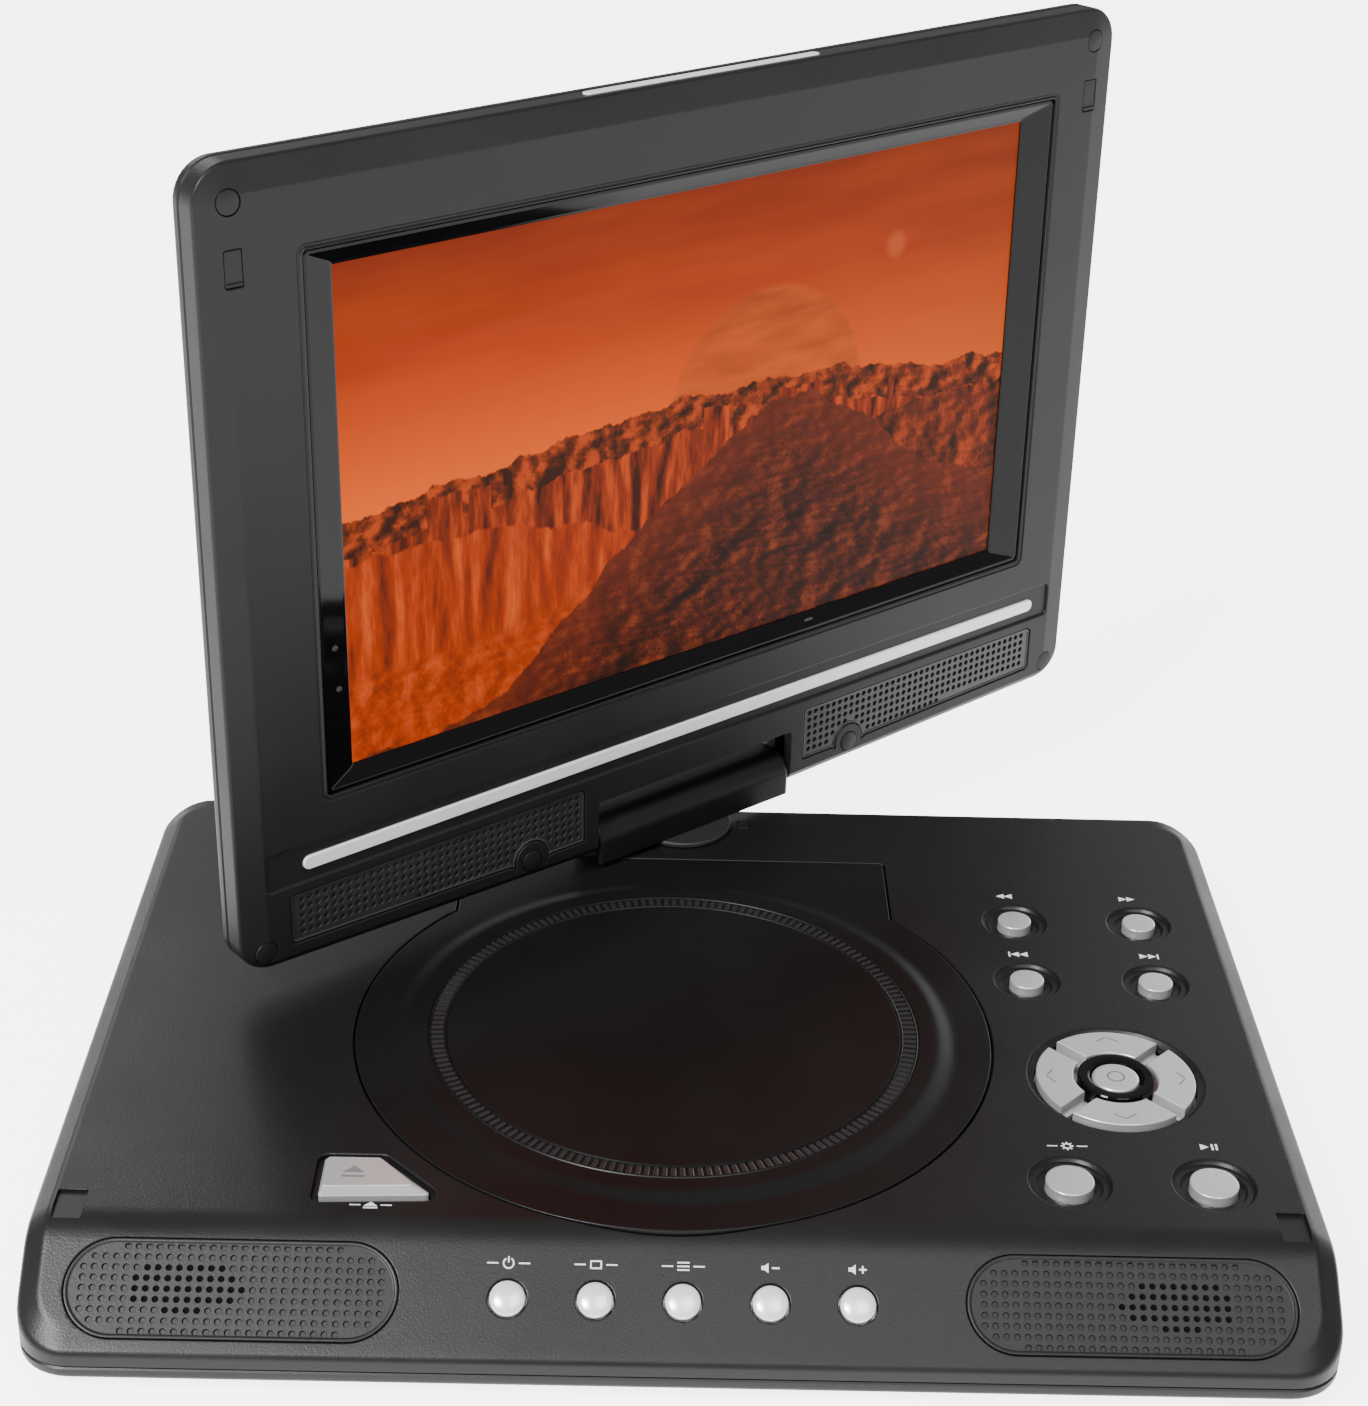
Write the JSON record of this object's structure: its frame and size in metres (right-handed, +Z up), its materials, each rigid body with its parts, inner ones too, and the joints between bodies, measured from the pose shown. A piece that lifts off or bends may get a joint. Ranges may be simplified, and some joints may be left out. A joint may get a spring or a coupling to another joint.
{
  "type": "portable dvd player",
  "caption": "Portable disc player with a flat base, round hinged disc door, silver buttons and a wide screen on a swivel and tilt hinge.",
  "frame": {"origin": "centre of the base's footprint, in the plane under the feet", "axes": "+Z up, -Y towards the user at the base's sloped front, +X to the user's right"},
  "size_m": [0.2588, 0.2656, 0.2144],
  "materials": {
    "housing": "satin fine grain",
    "inner_plastic": "matt",
    "disc_door": "satin",
    "silver_button": "silver paint, satin",
    "gloss_black": "glossy",
    "display": "matt display film",
    "silver_strip": "satin",
    "rubber": "matt",
    "steel": "plain",
    "circuit_board": "solder mask",
    "battery_wrap": "shrink wrap",
    "switch_metal": "plain",
    "socket": "moulded",
    "speaker_cone": "paper",
    "grille": "satin fine grain"
  },
  "bodies": {
    "base": {"base_top_shell": "housing", "base_bottom_shell": "housing", "disc_well": "inner_plastic", "drive_chassis": "steel", "spindle_motor": "steel", "guide_rods": "steel", "sled_motor": "steel", "main_board": "circuit_board", "button_board": "circuit_board", "tact_switches": "switch_metal", "front_button_board": "circuit_board", "battery_pack": "battery_wrap", "base_speakers": "speaker_cone", "base_grilles": "grille", "dpad_ring": "gloss_black", "feet": "rubber", "case_screws": "steel", "audio_jacks": "socket", "dc_jack": "socket", "door_hinge_pins": "steel"},
    "disc_door": {"disc_door": "disc_door"},
    "turntable": {"turntable": "inner_plastic"},
    "pickup": {"pickup_sled": "inner_plastic"},
    "lead_screw": {"lead_screw": "steel"},
    "open_button": {"open_button": "silver_button"},
    "rewind_button": {"rewind_button": "silver_button"},
    "forward_button": {"forward_button": "silver_button"},
    "previous_button": {"previous_button": "silver_button"},
    "next_button": {"next_button": "silver_button"},
    "setup_button": {"setup_button": "silver_button"},
    "play_button": {"play_button": "silver_button"},
    "dpad_right": {"dpad_right": "silver_button"},
    "dpad_up": {"dpad_up": "silver_button"},
    "dpad_left": {"dpad_left": "silver_button"},
    "dpad_down": {"dpad_down": "silver_button"},
    "enter_button": {"enter_button": "silver_button"},
    "front_button_1": {"front_button_1": "silver_button"},
    "front_button_2": {"front_button_2": "silver_button"},
    "front_button_3": {"front_button_3": "silver_button"},
    "front_button_4": {"front_button_4": "silver_button"},
    "front_button_5": {"front_button_5": "silver_button"},
    "swivel": {"swivel_turret": "inner_plastic", "swivel_retainer": "steel", "hinge_bracket": "steel", "hinge_cover_front": "housing", "hinge_cover_rear": "housing"},
    "screen": {"screen_bezel": "housing", "screen_back_shell": "housing", "tilt_hinges": "steel", "lcd_bezel": "gloss_black", "lcd_panel": "display", "lcd_board": "circuit_board", "chrome_strip": "silver_strip", "top_trim": "silver_strip", "screen_grilles": "grille", "screen_speakers": "speaker_cone", "screen_bumpers": "rubber", "latch_hooks": "inner_plastic", "screen_screws": "steel"}
  },
  "joints": [
    {"name": "screen_swivel", "type": "hinge", "parent": "base", "child": "swivel", "pos_m": [0, 0.0862, 0.0255], "axis": [0, 0, -1], "range_deg": [-140.95, 39.05]},
    {"name": "screen_tilt", "type": "hinge", "parent": "swivel", "child": "screen", "pos_m": [0, 0.0862, 0.0325], "axis": [-0.7766, -0.63, 0], "range_deg": [-90.6, 89.4]},
    {"name": "disc_door_hinge", "type": "hinge", "parent": "base", "child": "disc_door", "pos_m": [-0.00206, 0.0672, 0.0229], "axis": [-1, 0, 0], "range_deg": [0, 6.5]},
    {"name": "turntable_spin", "type": "hinge", "parent": "base", "child": "turntable", "pos_m": [-0.00206, -0.00375, 0.0175], "axis": [0, 0, 1], "continuous": true},
    {"name": "pickup_slide", "type": "slide", "parent": "base", "child": "pickup", "axis": [0, -1, 0], "range_m": [-0.01, 0.024]},
    {"name": "lead_screw_spin", "type": "hinge", "parent": "base", "child": "lead_screw", "pos_m": [-0.02006, -0.0453, 0.0124], "axis": [0, 1, 0], "continuous": true},
    {"name": "rewind_button_press", "type": "slide", "parent": "base", "child": "rewind_button", "axis": [0, 0, -1], "range_m": [0, 0.0008], "stiffness_N_per_m": 400, "springref_m": -0.0006},
    {"name": "forward_button_press", "type": "slide", "parent": "base", "child": "forward_button", "axis": [0, 0, -1], "range_m": [0, 0.0008], "stiffness_N_per_m": 400, "springref_m": -0.0006},
    {"name": "previous_button_press", "type": "slide", "parent": "base", "child": "previous_button", "axis": [0, 0, -1], "range_m": [0, 0.0008], "stiffness_N_per_m": 400, "springref_m": -0.0006},
    {"name": "next_button_press", "type": "slide", "parent": "base", "child": "next_button", "axis": [0, 0, -1], "range_m": [0, 0.0008], "stiffness_N_per_m": 400, "springref_m": -0.0006},
    {"name": "setup_button_press", "type": "slide", "parent": "base", "child": "setup_button", "axis": [0, 0, -1], "range_m": [0, 0.0008], "stiffness_N_per_m": 400, "springref_m": -0.0006},
    {"name": "play_button_press", "type": "slide", "parent": "base", "child": "play_button", "axis": [0, 0, -1], "range_m": [0, 0.0008], "stiffness_N_per_m": 400, "springref_m": -0.0006},
    {"name": "dpad_right_press", "type": "slide", "parent": "base", "child": "dpad_right", "axis": [0, 0, -1], "range_m": [0, 0.0008], "stiffness_N_per_m": 400, "springref_m": -0.0006},
    {"name": "dpad_up_press", "type": "slide", "parent": "base", "child": "dpad_up", "axis": [0, 0, -1], "range_m": [0, 0.0008], "stiffness_N_per_m": 400, "springref_m": -0.0006},
    {"name": "dpad_left_press", "type": "slide", "parent": "base", "child": "dpad_left", "axis": [0, 0, -1], "range_m": [0, 0.0008], "stiffness_N_per_m": 400, "springref_m": -0.0006},
    {"name": "dpad_down_press", "type": "slide", "parent": "base", "child": "dpad_down", "axis": [0, 0, -1], "range_m": [0, 0.0008], "stiffness_N_per_m": 400, "springref_m": -0.0006},
    {"name": "enter_button_press", "type": "slide", "parent": "base", "child": "enter_button", "axis": [0, 0, -1], "range_m": [0, 0.0008], "stiffness_N_per_m": 400, "springref_m": -0.0006},
    {"name": "open_button_press", "type": "slide", "parent": "base", "child": "open_button", "axis": [0, 0, -1], "range_m": [0, 0.001], "stiffness_N_per_m": 400, "springref_m": -0.0006},
    {"name": "front_button_1_press", "type": "slide", "parent": "base", "child": "front_button_1", "axis": [0, 0.5948, -0.8039], "range_m": [0, 0.0008], "stiffness_N_per_m": 400, "springref_m": -0.0006},
    {"name": "front_button_2_press", "type": "slide", "parent": "base", "child": "front_button_2", "axis": [0, 0.5948, -0.8039], "range_m": [0, 0.0008], "stiffness_N_per_m": 400, "springref_m": -0.0006},
    {"name": "front_button_3_press", "type": "slide", "parent": "base", "child": "front_button_3", "axis": [0, 0.5948, -0.8039], "range_m": [0, 0.0008], "stiffness_N_per_m": 400, "springref_m": -0.0006},
    {"name": "front_button_4_press", "type": "slide", "parent": "base", "child": "front_button_4", "axis": [0, 0.5948, -0.8039], "range_m": [0, 0.0008], "stiffness_N_per_m": 400, "springref_m": -0.0006},
    {"name": "front_button_5_press", "type": "slide", "parent": "base", "child": "front_button_5", "axis": [0, 0.5948, -0.8039], "range_m": [0, 0.0008], "stiffness_N_per_m": 400, "springref_m": -0.0006}
  ],
  "couplings": [
    {"joint": "lead_screw_spin", "follows": "pickup_slide", "rad_per_m": 2094.4}
  ]
}
